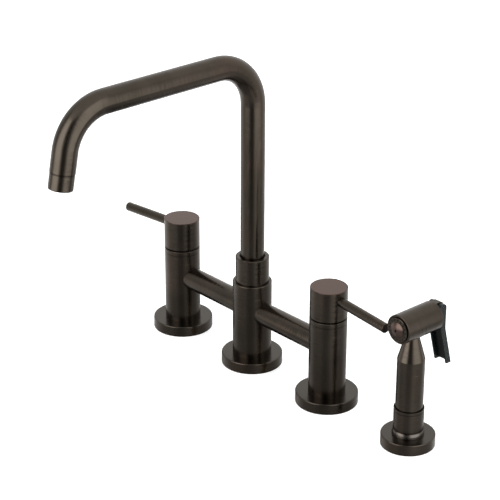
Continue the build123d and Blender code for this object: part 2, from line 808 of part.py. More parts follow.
# ================================================================ sprayer grip
head_axis = Plane((sprayer_pitch, 0, head_height), x_dir=(1, 0, 0), z_dir=(0, 1, 0))
with BuildPart() as sprayer_grip:
    turned(sprayer, [
        (0, nose_bottom), (nose_radius, nose_bottom), (nose_radius, grip_bottom),
        (grip_radius, grip_bottom), (grip_radius, grip_top), (cone_top_radius, cone_top),
        (0, cone_top)])
    ring(head_axis, head_front, head_back, head_radius + saddle_gap, mode=Mode.SUBTRACT)
    ring(sprayer, grip_top, neck_top, neck_radius)
    ring(sprayer, nose_bottom, grip_bore_top, grip_bore, mode=Mode.SUBTRACT)
    ring(sprayer, grip_bore_top, neck_top, neck_bore, mode=Mode.SUBTRACT)
write(sprayer_grip, "sprayer_grip")

# ================================================================ sprayer head
valve_axis = Plane((sprayer_pitch, 0, plunger_height), x_dir=(1, 0, 0), z_dir=(0, 1, 0))
side_view = Plane((sprayer_pitch, 0, 0), x_dir=(0, 1, 0), z_dir=(1, 0, 0))
face_floor = head_front + face_bore_depth
pocket_floor = head_back - spring_pocket_depth

with BuildPart() as sprayer_head:
    ring(head_axis, head_front, head_back, head_radius)
    ends = sprayer_head.edges().filter_by(GeomType.CIRCLE)
    fillet(ends, head_edge)
    lug_root = head_back - pivot_eye
    lug_length = pivot_back + pivot_eye - lug_root
    with BuildSketch(side_view) as lug:
        with Locations((lug_root + lug_length / 2, pivot_height + (lug_rise - pivot_eye) / 2)):
            Rectangle(lug_length, lug_rise + pivot_eye)
        fillet(lug.vertices().group_by(Axis.X)[-1], pivot_eye)
    extrude(amount=lug_half_width, both=True)
    ring(head_axis, head_front, face_floor, face_bore, mode=Mode.SUBTRACT)
    ring(valve_axis, face_floor, valve_seat, waterway_bore, mode=Mode.SUBTRACT)
    ring(valve_axis, valve_seat, pocket_floor, plunger_radius + running_gap, mode=Mode.SUBTRACT)
    ring(valve_axis, pocket_floor, head_back, spring_pocket, mode=Mode.SUBTRACT)
    ring(sprayer, head_height - head_radius - 1, neck_top, neck_radius + braze_gap,
         mode=Mode.SUBTRACT)
    with BuildSketch(side_view):
        with Locations((pivot_back, pivot_height)):
            Circle(pivot_pin + braze_gap)
    extrude(amount=lug_half_width, both=True, mode=Mode.SUBTRACT)
write(sprayer_head, "sprayer_head")

face_edge = head_front - face_stand
with BuildPart() as spray_face:
    groove_floor = head_front + face_groove_depth
    back = face_floor - face_chamber
    boss_edge = face_edge - face_boss_step
    with BuildSketch(Plane(head_axis.origin)):
        with BuildLine():
            dome = ThreePointArc((face_boss, boss_edge),
                                 (face_boss / 2, boss_edge - face_crown * 0.75),
                                 (0, boss_edge - face_crown))
            Polyline(dome @ 1, (0, back), (face_bore - thread_gap, back),
                     (face_bore - thread_gap, groove_floor), (face_radius, groove_floor),
                     (face_radius, face_edge + face_bevel), (face_radius - face_bevel, face_edge),
                     (face_boss, face_edge), dome @ 0)
        make_face()
    revolve(axis=Axis(head_axis.origin, (0, 1, 0)))
    with BuildSketch(head_axis.offset(back)):
        with PolarLocations(outer_jet_circle, outer_jets):
            Circle(jet_radius)
        Circle(middle_jet)
    extrude(amount=-2 * head_radius, mode=Mode.SUBTRACT)
write(spray_face, "spray_face")

# ================================================================ trigger and its pin
with BuildPart() as trigger:
    front = trigger_back - trigger_depth
    foot_front = trigger_foot_back - trigger_foot_depth
    with BuildSketch(side_view) as side_form:
        with BuildLine():
            Polyline((front, pivot_height), (front, trigger_knee), (foot_front, trigger_foot),
                     (trigger_foot_back, trigger_foot), (trigger_back, trigger_knee),
                     (trigger_back, pivot_height), close=True)
        make_face()
        knees = side_form.vertices().group_by(Axis.Y)[1]
        feet = side_form.vertices().group_by(Axis.Y)[0]
        fillet(knees, trigger_knee_round)
        fillet(feet, trigger_foot_round)
        with Locations((pivot_back, pivot_height)):
            Circle(pivot_eye)
    extrude(amount=trigger_half_width, both=True)
    with BuildSketch(side_view) as channel:
        with BuildLine():
            Polyline((front - pivot_eye, trigger_web_top), (front - pivot_eye, trigger_foot - 1),
                     (trigger_foot_back - trigger_wall, trigger_foot - 1),
                     (trigger_web_front, trigger_knee), (trigger_web_front, trigger_web_top),
                     close=True)
        make_face()
    extrude(amount=trigger_half_width - trigger_wall, both=True, mode=Mode.SUBTRACT)
    with BuildSketch(side_view):
        with Locations((pivot_back, pivot_height)):
            Rectangle(4 * pivot_eye, 2 * (pivot_height - trigger_web_top))
    extrude(amount=trigger_slot, both=True, mode=Mode.SUBTRACT)
    with BuildSketch(side_view):
        with Locations((pivot_back, pivot_height)):
            Circle(pivot_pin + running_gap)
    extrude(amount=trigger_half_width, both=True, mode=Mode.SUBTRACT)
    with BuildSketch(Plane((sprayer_pitch, 0, trigger_foot), x_dir=(1, 0, 0), z_dir=(0, -1, 0))):
        Ellipse(trigger_half_width - trigger_wall, trigger_scallop)
    extrude(amount=-2 * trigger_foot_back, mode=Mode.SUBTRACT)
write(trigger, "trigger")

with BuildPart() as trigger_pin:
    with BuildSketch(side_view):
        with Locations((pivot_back, pivot_height)):
            Circle(pivot_pin)
    extrude(amount=trigger_half_width, both=True)
write(trigger_pin, "trigger_pin")

# ================================================================ spray valve
poppet_back = valve_seat - seal_gap
with BuildPart() as spray_plunger:
    turned(valve_axis, [
        (0, poppet_back - poppet_height), (poppet_radius, poppet_back - poppet_height),
        (poppet_radius, poppet_back), (plunger_radius, poppet_back),
        (plunger_radius, button_front), (button_radius, button_front),
        (button_radius, button_tip), (0, button_tip)])
    crown = spray_plunger.edges().filter_by(GeomType.CIRCLE).sort_by(Axis.Y)[-1]
    fillet(crown, button_dome)
write(spray_plunger, "spray_plunger")

with BuildPart() as plunger_spring:
    rest = spring_wire + braze_gap
    with BuildLine() as coil:
        Helix(pitch=(button_front - pocket_floor - 2 * rest) / spring_turns,
              height=button_front - pocket_floor - 2 * rest, radius=spring_radius,
              center=(sprayer_pitch, pocket_floor + rest, plunger_height),
              direction=(0, 1, 0))
    with BuildSketch(Plane(coil.line @ 0, z_dir=coil.line % 0)):
        Circle(spring_wire)
    sweep(is_frenet=True)
write(plunger_spring, "plunger_spring")
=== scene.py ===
# %% [markdown]
# # Dressing a bridge faucet
#
# This lesson takes a faucet that was drawn as exact solids and gives it the finishes of the
# real one: dark bronze that was turned, brushed and oiled, a black plastic trigger, plain
# brass under the deck, rubber and ceramic. The solids stay where they are. Each one keeps
# its shape and gets a material, and a few pieces are made again here because they need
# what a plain solid leaves out, such as the turns of a thread.
#
# The first cell loads the packed model. Every object is in metres, in one shared frame:
# +X runs along the bridge, -Y points at the user, and +Z is up from the deck.

import json
import math

import bmesh
import bpy
from mathutils import Matrix, Vector


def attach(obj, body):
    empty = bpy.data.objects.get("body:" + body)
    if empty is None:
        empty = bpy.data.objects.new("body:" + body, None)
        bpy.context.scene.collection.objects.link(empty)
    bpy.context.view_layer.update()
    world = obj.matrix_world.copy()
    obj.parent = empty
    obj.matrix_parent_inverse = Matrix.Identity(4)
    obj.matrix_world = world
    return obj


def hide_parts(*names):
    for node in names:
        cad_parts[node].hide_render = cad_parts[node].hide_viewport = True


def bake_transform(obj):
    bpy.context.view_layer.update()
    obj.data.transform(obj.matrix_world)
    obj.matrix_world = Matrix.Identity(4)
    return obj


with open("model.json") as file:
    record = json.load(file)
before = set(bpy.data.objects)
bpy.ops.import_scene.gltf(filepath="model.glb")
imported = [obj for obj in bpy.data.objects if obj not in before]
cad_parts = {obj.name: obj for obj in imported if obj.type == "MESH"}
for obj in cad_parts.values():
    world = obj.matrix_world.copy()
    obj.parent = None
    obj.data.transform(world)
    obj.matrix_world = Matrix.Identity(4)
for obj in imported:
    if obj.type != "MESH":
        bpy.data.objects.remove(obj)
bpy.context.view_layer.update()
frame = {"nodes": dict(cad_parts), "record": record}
nodes = frame["nodes"]
scene = bpy.context.scene
MM = 0.001

# %% [markdown]
# ## The camera
#
# A product photograph like this one is taken with a long lens from well back, so upright
# pieces stay nearly parallel. The camera is placed by the point that it looks at, its
# distance, how far round and how far up it stands, and a slight roll. Working from these
# few numbers is easier to correct than typing a position and three angles.

# %% Place the camera
IMAGE_SIDE = 500
FOCAL_PIXELS = 1788.237
SENSOR = 36.0
LOOK_AT = Vector((-3.19, -0.17, 113.743)) * MM
AZIMUTH = math.radians(48.107)
ELEVATION = math.radians(24.583)
ROLL = math.radians(0.195)
DISTANCE = 1653.075 * MM

back = Vector((math.sin(AZIMUTH) * math.cos(ELEVATION),
               -math.cos(AZIMUTH) * math.cos(ELEVATION),
               math.sin(ELEVATION)))
level_right = Vector((0, 0, 1)).cross(back).normalized()
level_up = back.cross(level_right)
camera_right = level_right * math.cos(ROLL) + level_up * math.sin(ROLL)
camera_up = level_up * math.cos(ROLL) - level_right * math.sin(ROLL)

lens = bpy.data.cameras.new("photo_camera")
lens.sensor_width = SENSOR
lens.lens = SENSOR * FOCAL_PIXELS / IMAGE_SIDE
lens.clip_end = 20
camera = bpy.data.objects.new("photo_camera", lens)
scene.collection.objects.link(camera)
camera.matrix_world = Matrix.Translation(LOOK_AT + back * DISTANCE) @ Matrix(
    (camera_right, camera_up, back)).transposed().to_4x4()
scene.camera = camera
print(f"lens {lens.lens:.1f} mm at {DISTANCE:.2f} m")

# %% [markdown]
# ## Shader maths that reads like maths
#
# A material is a graph of nodes, and wiring one by hand takes three lines for every sum.
# `Wire` wraps one output socket and overloads Python's operators, so `1 - mask * 0.5`
# adds the right Math nodes by itself. Each operator has its reflected form too, which Python
# calls when a plain number stands first.

# %% A socket with operators
class Wire:
    """One output socket of a graph, which Python can add, multiply, subtract and compare."""

    def __init__(self, graph, socket):
        self.graph = graph
        self.socket = socket

    def __add__(self, other):
        return self.graph.maths("ADD", self, other)

    def __radd__(self, other):
        return self.graph.maths("ADD", other, self)

    def __sub__(self, other):
        return self.graph.maths("SUBTRACT", self, other)

    def __rsub__(self, other):
        return self.graph.maths("SUBTRACT", other, self)

    def __mul__(self, other):
        return self.graph.maths("MULTIPLY", self, other)

    def __rmul__(self, other):
        return self.graph.maths("MULTIPLY", other, self)

    def __truediv__(self, other):
        return self.graph.maths("DIVIDE", self, other)

    def __rtruediv__(self, other):
        return self.graph.maths("DIVIDE", other, self)

    def __neg__(self):
        return self.graph.maths("MULTIPLY", self, -1.0)

    def __gt__(self, other):
        return self.graph.maths("GREATER_THAN", self, other)

    def __lt__(self, other):
        return self.graph.maths("LESS_THAN", self, other)


print("a sum on a wire becomes a Math node")

# %% [markdown]
# What isn't a sum, such as a noise, comes from one method, `Graph.node`. It sets the node's
# options first, because they decide which sockets it has, and then its inputs. The methods
# after it are short names for the nodes that this lesson uses often. Colours and directions
# go through Mix and Vector Math nodes, because a Math node would turn a colour grey.
#
# The world has such a graph too, so `Graph` knows nothing of materials. `Finish` is the graph
# of one material, and adds the Principled shader at its end.

# %% A graph that makes its nodes, and the finish built on it
class Graph:
    """A tree of shader nodes, in which each node is wired as it is made."""

    def __init__(self, tree):
        self.tree = tree

    def node(self, kind, settings=None, inputs=None, out=0):
        made = self.tree.nodes.new(kind)
        for key, value in (settings or {}).items():
            setattr(made, key, value)
        for key, value in (inputs or {}).items():
            self.plug(made.inputs[key], value)
        return Wire(self, made.outputs[out])

    def plug(self, socket, value):
        if isinstance(value, Wire):
            self.tree.links.new(value.socket, socket)
        else:
            socket.default_value = value

    def maths(self, operation, first, second=0.0):
        return self.node("ShaderNodeMath", {"operation": operation}, {0: first, 1: second})

    def above_zero(self, value):
        return self.maths("MAXIMUM", value, 0.0)

    def vector(self, operation, first, second=None, out=0):
        given = {0: first} if second is None else {0: first, 1: second}
        return self.node("ShaderNodeVectorMath", {"operation": operation}, given, out)

    def scaled(self, arrow, amount):
        return self.node("ShaderNodeVectorMath", {"operation": "SCALE"},
                         {0: arrow, "Scale": amount})

    def dot(self, first, second):
        return self.vector("DOT_PRODUCT", first, second, out=1)

    def length(self, arrow):
        return self.vector("LENGTH", arrow, out=1)

    def part(self, arrow, number):
        """One number of an arrow: 0 for its x, 1 for its y, 2 for its z."""
        return self.node("ShaderNodeSeparateXYZ", inputs={0: arrow}, out=number)

    def arrow(self, x=0.0, y=0.0, z=0.0):
        return self.node("ShaderNodeCombineXYZ", inputs={0: x, 1: y, 2: z})

    def blend(self, share, first, second):
        """A mix of two colours. The next two mix directions and numbers."""
        return self.node("ShaderNodeMix", {"data_type": "RGBA"},
                         {0: share, 6: first, 7: second}, out=2)

    def steer(self, share, first, second):
        return self.node("ShaderNodeMix", {"data_type": "VECTOR"},
                         {0: share, 4: first, 5: second}, out=1)

    def level(self, share, first, second):
        return self.node("ShaderNodeMix", {"data_type": "FLOAT"},
                         {0: share, 2: first, 3: second})

    def noise(self, place, scale, detail=2.0, roughness=0.5):
        return self.node("ShaderNodeTexNoise", {"noise_dimensions": "3D"}, {
            "Vector": place, "Scale": scale, "Detail": detail, "Roughness": roughness})

    def spread(self, value, low, high, first=0.0, second=1.0):
        """First where the value is at low, second where it is at high, smoothly between."""
        return self.node("ShaderNodeMapRange", {"interpolation_type": "SMOOTHSTEP"},
                         {0: value, 1: low, 2: high, 3: first, 4: second})

    def bump(self, height, distance, strength=0.35):
        return self.node("ShaderNodeBump", inputs={
            "Strength": strength, "Distance": distance, "Height": height})

    def place(self):
        return self.node("ShaderNodeTexCoord", out="Object")

    def facing(self):
        return self.node("ShaderNodeTexCoord", out="Normal")


class Finish(Graph):
    """The graph of a new material, with one Principled shader at its end."""

    def __init__(self, name, **fixed):
        self.material = bpy.data.materials.new(name)
        self.material.use_nodes = True
        super().__init__(self.material.node_tree)
        self.tree.nodes.clear()
        output = self.tree.nodes.new("ShaderNodeOutputMaterial")
        self.shader = self.tree.nodes.new("ShaderNodeBsdfPrincipled")
        self.tree.links.new(self.shader.outputs[0], output.inputs[0])
        self.set(**fixed)

    def set(self, **values):
        for key, value in values.items():
            self.plug(self.shader.inputs[key.replace("_", " ")], value)


print("a graph has", ", ".join(name for name in vars(Graph) if not name.startswith("_")))

# %% [markdown]
# ## Oiled bronze
#
# The real faucet is brass with a dark chemical finish that was brushed and oiled, so it is
# never one brown. It is a little warmer here and deeper there, pale where the brush rubbed
# it, and darkest where oil stayed in a groove. Colours are easiest to judge as a screen shows
# them, from 0 to 255, but a shader works in linear light, so one function turns the one into
# the other.

# %% The colours of the bronze
def screen_colour(red, green, blue):
    """A colour as a screen shows it, in the linear values of a shader."""
    return tuple((c / 255 / 12.92) if c < 10 else ((c / 255 + 0.055) / 1.055) ** 2.4
                 for c in (red, green, blue)) + (1.0,)


BRONZE = screen_colour(82, 75, 67)
BRONZE_WARM = screen_colour(89, 75, 67)
BRONZE_DEEP = screen_colour(74, 68, 60)
BRONZE_WORN = screen_colour(118, 96, 78)
BRONZE_SHADE = screen_colour(64, 58, 52)   # oil left in the deeper grooves
OIL_AND_PAINTED_SHADE = screen_colour(44, 39, 35)      # oil in tool marks and seams, painted shade over the holder's foot ring, and a painted dark reflection on the levers' end faces
FOOT_RING_PAINTED_HIGHLIGHT = screen_colour(118, 113, 107)      # a painted highlight on the holder's foot ring
CAP_TOP = screen_colour(92, 73, 65)        # the caps' tops have worn a little redder
# the flanges' top faces are darkened by painted shade
FLANGE_TOP_PAINTED_SHADE = screen_colour(75, 70, 64)
# the spray face's dome: a redder tone, and brighter as a painted highlight
DOME_RED_AND_HIGHLIGHT = screen_colour(98, 80, 74)
# painted shade in and round the spray face's jets
JET_PAINTED_SHADE = screen_colour(24, 20, 18)
print("bronze in linear light", [round(c, 3) for c in BRONZE[:3]])

# %% [markdown]
# Brushing on a lathe leaves fine grooves that run round the metal. They are far too small to
# see one by one, but they tilt the surface up and down along the turning axis, so a
# reflection is smeared into a long soft band along that axis and stays narrow around it.
# That is why such columns show upright bands of light.
#
# An anisotropic shader could do this, but the grooves themselves are simple: the finish
# works out how far along the axis a point is, feeds that to a very fine noise, and tips the
# normal by it. The metal between the grooves is fairly smooth, so each column still mirrors
# its neighbour as a narrow dark stripe.

# %% The brushed finish
GROOVES = 2600.0          # per metre, the main spacing of the brushed grooves
COARSE = 0.22             # of that, the spacing of the coarser grooves
ROUND_CHANGE = 1.4        # how soon a groove changes on its way round the metal
GROOVE_TILT = 0.34        # how far a groove tips the normal
COARSE_TILT = 0.3         # of that, by a coarser groove
PATINA_SCALE, WARMTH_SCALE = 38.0, 17.0   # per metre, the clouds of the dark finish


def finish_bronze(finish, along, grain, lines=1.0, marks=()):
    """Colour, roughness and brushed normal of the bronze, from a length and a direction.

    Lines says how strongly the coarser grooves show. Each mark is a share and a colour."""
    place = finish.place()
    facing = finish.facing()
    ring = finish.scaled(facing, ROUND_CHANGE)
    line = finish.arrow(z=along * GROOVES)
    hair = finish.noise(finish.vector("ADD", ring, line), 1.0, detail=3.0, roughness=0.65)
    band = finish.noise(finish.vector("ADD", ring, finish.scaled(line, COARSE)), 1.0)
    patina = finish.noise(place, PATINA_SCALE, detail=4.0, roughness=0.55)
    warmth = finish.noise(place, WARMTH_SCALE)
    colour = finish.blend(finish.spread(patina, 0.30, 0.62), BRONZE_DEEP, BRONZE)
    for share, tint in ((finish.spread(warmth, 0.48, 0.72, 0.0, 0.55), BRONZE_WARM),
                        (finish.spread(band, 0.42, 0.30, 0.0, 0.45 * lines), BRONZE_SHADE),
                        (finish.spread(hair, 0.58, 0.80, 0.0, 0.16 * lines), BRONZE_WORN),
                        *marks):
        colour = finish.blend(share, colour, tint)
    finish.set(Base_Color=colour,
               Roughness=finish.spread(hair, 0.25, 0.75, 0.17, 0.25) + band * 0.04)
    tip = (hair - 0.5) * GROOVE_TILT + (band - 0.5) * (GROOVE_TILT * COARSE_TILT * lines)
    tipped = finish.vector("ADD", facing, finish.scaled(grain, tip))
    finish.set(Normal=finish.node(
        "ShaderNodeVectorTransform",
        {"vector_type": "NORMAL", "convert_from": "OBJECT", "convert_to": "WORLD"},
        {0: finish.vector("NORMALIZE", tipped)}))
    return finish.material


print(f"grooves {1 / GROOVES / MM:.2f} and {1 / GROOVES / COARSE / MM:.2f} mm apart")

# %% [markdown]
# Most pieces are turned about one straight axis, so how far along it a point lies is a dot
# product. On a face across the axis, such as a cap's top, the grooves are circles, so the
# distance out from the axis is used in its place. All upright pieces stand on four columns,
# evenly spaced, and rounding a point's x to the nearest one finds its axis. So one material
# serves every column, where a fixed centre would need one for each.

# %% Bronze turned about an axis
STATION = 101.6 * MM      # the columns stand this far apart
FACE_LEAN = 0.7           # the cosine to the axis past which a surface is a face across it
RING_SHARE = 0.7          # how much of its colour a ring shows


def bronze_about(name, axis, centre=None, face_tint=None, rings=()):
    """Brushed bronze for a piece turned about an axis, by default that of its own column.

    The tint colours the faces across the axis. Each ring round the piece is given by its
    place along the axis, its half width and its colour."""
    finish = Finish(name, Metallic=1.0)
    place = finish.place()
    if centre is None:
        column = finish.maths("SNAP", finish.part(place, 0) + STATION / 2, STATION)
        centre = finish.arrow(x=column)
    offset = finish.vector("SUBTRACT", place, centre)
    axis = tuple(Vector(axis).normalized())
    height = finish.dot(offset, axis)
    out = finish.vector("SUBTRACT", offset, finish.scaled(axis, height))
    face = finish.maths("ABSOLUTE", finish.dot(finish.facing(), axis)) > FACE_LEAN
    grain = finish.steer(face, axis, finish.vector("NORMALIZE", out))
    marks = [(face, face_tint)] if face_tint else []
    for middle, half_width, tint in rings:
        away = finish.maths("ABSOLUTE", height - middle)
        marks.append((finish.spread(away, half_width, half_width / 2) * RING_SHARE, tint))
    along = finish.level(face, height, finish.length(out))
    return finish_bronze(finish, along, grain, marks=marks)


UP = (0, 0, 1)
bronze_upright = bronze_about("oiled_bronze_upright", UP)
print("columns", round(STATION / MM, 1), "mm apart share", bronze_upright.name)

# %% [markdown]
# Some uprights carry marks of their own. The lathe stopped in a fine line under each cap and
# under the holder's rim. Over the holder's foot ring, painted shade darkens the crease, and the
# ring itself carries a painted highlight. The bridge, the levers and the sprayer's head lie on
# their sides, each about its own axis. The levers point a little forward and droop a little,
# and their end faces are painted dark as a painted reflection.

# %% The bronze of each piece
TOOL_RING = (80.3 * MM, 0.7 * MM, OIL_AND_PAINTED_SHADE)
# Under the holder's rim a tool line, over its foot ring painted shade in the crease, and on the
# foot ring a painted highlight.
HOLDER_RINGS = [(33.4 * MM, 0.7 * MM, OIL_AND_PAINTED_SHADE), (15.6 * MM, 0.8 * MM, OIL_AND_PAINTED_SHADE),
                (12.6 * MM, 2.8 * MM, FOOT_RING_PAINTED_HIGHLIGHT)]
BRIDGE_HEIGHT, LEVER_HEIGHT = 55 * MM, 105.9 * MM
LEVER_FORWARD, LEVER_DROOP = math.radians(4.0), math.radians(2.0)
HEAD_AXIS = (2 * STATION, 0, 116.05 * MM)

bronze_cap = bronze_about("oiled_bronze_cap", UP, face_tint=CAP_TOP)
bronze_valve_body = bronze_about("oiled_bronze_valve_body", UP, rings=[TOOL_RING])
bronze_holder = bronze_about("oiled_bronze_holder", UP, rings=HOLDER_RINGS)
# The flanges' top faces are darkened by painted shade.
bronze_flange = bronze_about("oiled_bronze_flange", UP, face_tint=FLANGE_TOP_PAINTED_SHADE)
bronze_bridge = bronze_about("oiled_bronze_bridge", (1, 0, 0), (0, 0, BRIDGE_HEIGHT))
bronze_lever = {}
for side, way in (("left", -1), ("right", 1)):
    lever_way = (way * math.cos(LEVER_FORWARD) * math.cos(LEVER_DROOP),
                 -math.sin(LEVER_FORWARD) * math.cos(LEVER_DROOP), -math.sin(LEVER_DROOP))
    # A lever's end face is painted dark, a painted reflection of dark things beside it.
    bronze_lever[side] = bronze_about(f"oiled_bronze_{side}_lever", lever_way,
                                      (way * STATION, 0, LEVER_HEIGHT), face_tint=OIL_AND_PAINTED_SHADE)
bronze_head = bronze_about("oiled_bronze_spray_head", (0, 1, 0), HEAD_AXIS)
print("bronze made:", [made.name for made in bpy.data.materials if "oiled" in made.name])

# %% [markdown]
# The spray face is a turned plate with a ring of drilled jets and one more in its domed
# middle. Painted shade darkens each hole and the metal round it, and the dome is painted
# redder and a little brighter, a redder tone with a painted highlight. The nearest jet of
# the ring is found by rounding the angle about the head's axis to a whole number of jets, so
# one small expression marks all sixteen.

# %% The spray face
JETS, JET_CIRCLE, DOME = 16, 9.1 * MM, 7.4 * MM


def bronze_spray_face(name):
    """The head's bronze, with painted shade round every jet and a redder dome with a painted
    highlight.
    """
    finish = Finish(name, Metallic=1.0)
    offset = finish.vector("SUBTRACT", finish.place(), HEAD_AXIS)
    angle = finish.maths("ARCTAN2", finish.part(offset, 0), finish.part(offset, 2))
    jet = angle * (JETS / (2 * math.pi))
    astray = (jet - finish.maths("ROUND", jet)) * (2 * math.pi / JETS)
    out = finish.vector("MULTIPLY", offset, (1.0, 0.0, 1.0))
    reach = finish.length(out)
    from_jet = finish.length(finish.arrow(astray * reach, reach - JET_CIRCLE))
    # painted shade: each jet's hole and the metal round it darkened, and the middle jet too
    stain_and_painted_shade = finish.maths("MAXIMUM", finish.spread(from_jet, 0.4 * MM, 0.95 * MM, 1.0, 0.0),
                         finish.spread(reach, 0.7 * MM, 1.5 * MM, 1.0, 0.0))
    # the dome: a redder tone, and brighter as a painted highlight
    redder_with_highlight = finish.spread(reach, DOME - 1 * MM, DOME, 0.8, 0.0)
    return finish_bronze(finish, reach, finish.vector("NORMALIZE", out),
                         marks=[(redder_with_highlight, DOME_RED_AND_HIGHLIGHT), (stain_and_painted_shade, JET_PAINTED_SHADE)])


bronze_face = bronze_spray_face("oiled_bronze_spray_face")
print(JETS, "jets darkened on a ring", round(2 * JET_CIRCLE / MM, 1), "mm across")

# %% [markdown]
# The spout is one tube bent twice, and its grooves run round it all the way, so the turning
# axis has to follow the bends. A texture could be laid along a curve, but the spout lies in
# one upright plane and its route is two arcs between straight runs, so the angle about each
# bend's centre gives the tube's direction at every point, with no extra geometry. Where the
# tube ends, the aerator's housing starts with a fine dark seam.

# %% The same finish along a bent tube
ARM_HEIGHT, BEND, SPOUT_CORNER = 299.7 * MM, 42.15 * MM, 200.1 * MM
OUTLET_LEAN, OUTLET_LEG = math.radians(11.0), 52.1 * MM
OUTLET_RING = (0.9 * MM, 0.7 * MM, OIL_AND_PAINTED_SHADE)
SECOND_TURN = math.pi / 2 - OUTLET_LEAN
BEND_HEIGHT = ARM_HEIGHT - BEND
SECOND_BEND = -SPOUT_CORNER + BEND * math.tan(SECOND_TURN / 2)
outlet_way = Vector((0, -math.sin(OUTLET_LEAN), -math.cos(OUTLET_LEAN)))
outlet_corner = Vector((0, -SPOUT_CORNER, ARM_HEIGHT))
leg_start = outlet_corner + outlet_way * BEND * math.tan(SECOND_TURN / 2)
tube_end = outlet_corner + outlet_way * OUTLET_LEG


def bronze_along_spout(name):
    """Brushed bronze whose grooves go round a tube bent twice in the plane x = 0."""
    finish = Finish(name, Metallic=1.0)
    place = finish.place()
    y, z = finish.part(place, 1), finish.part(place, 2)
    first = finish.maths("ARCTAN2", finish.above_zero(y + BEND),
                         finish.above_zero(z - BEND_HEIGHT))
    second = finish.maths("MINIMUM", finish.maths(
        "ARCTAN2", finish.above_zero(SECOND_BEND - y), z - BEND_HEIGHT), SECOND_TURN)
    turn = math.pi / 2 - first + second
    grain = finish.arrow(y=-finish.maths("SINE", turn), z=finish.maths("COSINE", turn))
    arm = finish.maths("MINIMUM", finish.above_zero(-BEND - y), -BEND - SECOND_BEND)
    leg = finish.above_zero(finish.dot(
        finish.vector("SUBTRACT", place, tuple(leg_start)), tuple(outlet_way)))
    riser = finish.maths("MINIMUM", z, BEND_HEIGHT) * (1 - (y < -BEND))
    return finish_bronze(finish, riser + turn * BEND + arm + leg, grain, lines=0.3)


bronze_spout = bronze_along_spout("oiled_bronze_spout")
bronze_outlet = bronze_about("oiled_bronze_outlet", outlet_way, tuple(tube_end),
                             rings=[OUTLET_RING])
print("spout dressed, its tube ends at", [round(v / MM, 1) for v in tube_end], "mm")

# %% [markdown]
# ## The studio
#
# The floor is the deck that the flanges stand on. It is a large pale plane, and the world
# behind it is white, so the picture has the empty white ground of a catalogue page.
#
# More lamps could make the ground white, but they would burn out the object too. The floor
# glows instead, only for the camera's rays, so it lights nothing. Near the faucet its glow is
# weaker and the lamps' light makes up the rest, so the faucet's shadow shows there. The floor
# is left out of reflections, because it would cover the lower half of the cloth tent that the
# metal mirrors, which comes next.

# %% Floor and world
FLOOR_SIZE = 12.0
FLOOR_GREY = 0.80
FLOOR_GLOW = 0.42
WORLD_LIGHT = 0.35        # what the world adds to soft light
OVERHEAD, UNDERFOOT = 0.90, 0.45   # how bright metal sees the world above and below the tent


def grey(level):
    return (level, level, level, 1.0)


def level_square(half, height=0.0):
    """The corners of a level square about the origin."""
    return [(x, y, height) for x, y in (
        (-half, -half), (half, -half), (half, half), (-half, half))]


def stage_mesh(name, corners, faces, material):
    mesh = bpy.data.meshes.new(name)
    mesh.from_pydata(corners, [], faces)
    mesh.materials.append(material)
    piece = bpy.data.objects.new(name, mesh)
    scene.collection.objects.link(piece)
    return piece


def ray(graph, kind):
    """1 where a ray of this kind looks at the surface, and 0 for any other."""
    return graph.node("ShaderNodeLightPath", out=f"Is {kind} Ray")


pale = Finish("pale_floor", Base_Color=grey(FLOOR_GREY), Roughness=0.9, Specular_IOR_Level=0.0,
              Emission_Strength=1.0)
from_faucet = pale.length(pale.place())
floor_glow = pale.blend(pale.spread(from_faucet, 0.5, 1.4), grey(FLOOR_GLOW), grey(1))
seen = pale.maths("MAXIMUM", ray(pale, "Camera"), ray(pale, "Transmission"))
pale.set(Emission_Color=pale.blend(seen, grey(0), floor_glow))
floor = stage_mesh("floor", level_square(FLOOR_SIZE / 2), [(0, 1, 2, 3)], pale.material)
floor.visible_glossy = False

world = bpy.data.worlds.new("white_studio")
world.use_nodes = True
scene.world = world
ground = world.node_tree.nodes["Background"]
ground.inputs["Color"].default_value = grey(1)
sky = Graph(world.node_tree)
upward = sky.part(sky.node("ShaderNodeTexCoord"), 2)
in_metal = sky.level(ray(sky, "Glossy"), WORLD_LIGHT,
                     sky.spread(upward, -0.5, 0.6, UNDERFOOT, OVERHEAD))
sky.plug(ground.inputs["Strength"], sky.level(ray(sky, "Camera"), in_metal, 1.0))
print("floor", FLOOR_SIZE, "m square, world ready")

# %% [markdown]
# Shiny metal is photographed inside a tent of white cloth with one gap, for the camera. The
# metal mirrors the cloth, and the gap is the dark band down the middle of every column that
# makes it look round. The tent here is a ring of cloth that only reflections see.
#
# It is a plain ring of faces whose glow is worked out from where a point of it lies. Round
# the ring the cloth dims towards the gap, more slowly on its left, and it is brighter behind
# the faucet. Two lamps stand behind the cloth, left and right of the camera. Their light
# starts at about the height of the deck, so an upright column, which mirrors what is below
# the camera's line, misses them, and every slope that leans back catches them: the outlet,
# the cone of the sprayer and the ring at its foot.

# %% The tent
TENT_RADIUS, TENT_FOOT, TENT_TOP, TENT_SIDES = 1.4, -1.6, 1.8, 96
BRIGHTEST = 3.0           # the glow at a colour of white
CLOTH = 0.70              # how bright the cloth is away from the gap
CLOTH_BEHIND = 0.30       # added behind the faucet
GAP_NARROW, GAP_BROAD = 0.33, 0.27   # taken off at the gap and beside it
GAP_LOW = 0.5             # the share of that near the ground, where the cloth overlaps
UPPER_LEFT, LOWER_RIGHT = 0.32, 0.18   # taken off high on the left and low on the right
LAMP_LEFT, LAMP_RIGHT = 2.35, 1.30  # added by the lamps behind the cloth

cloth = Finish("tent_cloth", Base_Color=grey(0), Roughness=1.0, Specular_IOR_Level=0.0,
               Emission_Strength=BRIGHTEST)
round_tent = cloth.vector("NORMALIZE", cloth.vector("MULTIPLY", cloth.place(), (1.0, 1.0, 0.0)))
tent_height = cloth.part(cloth.place(), 2)


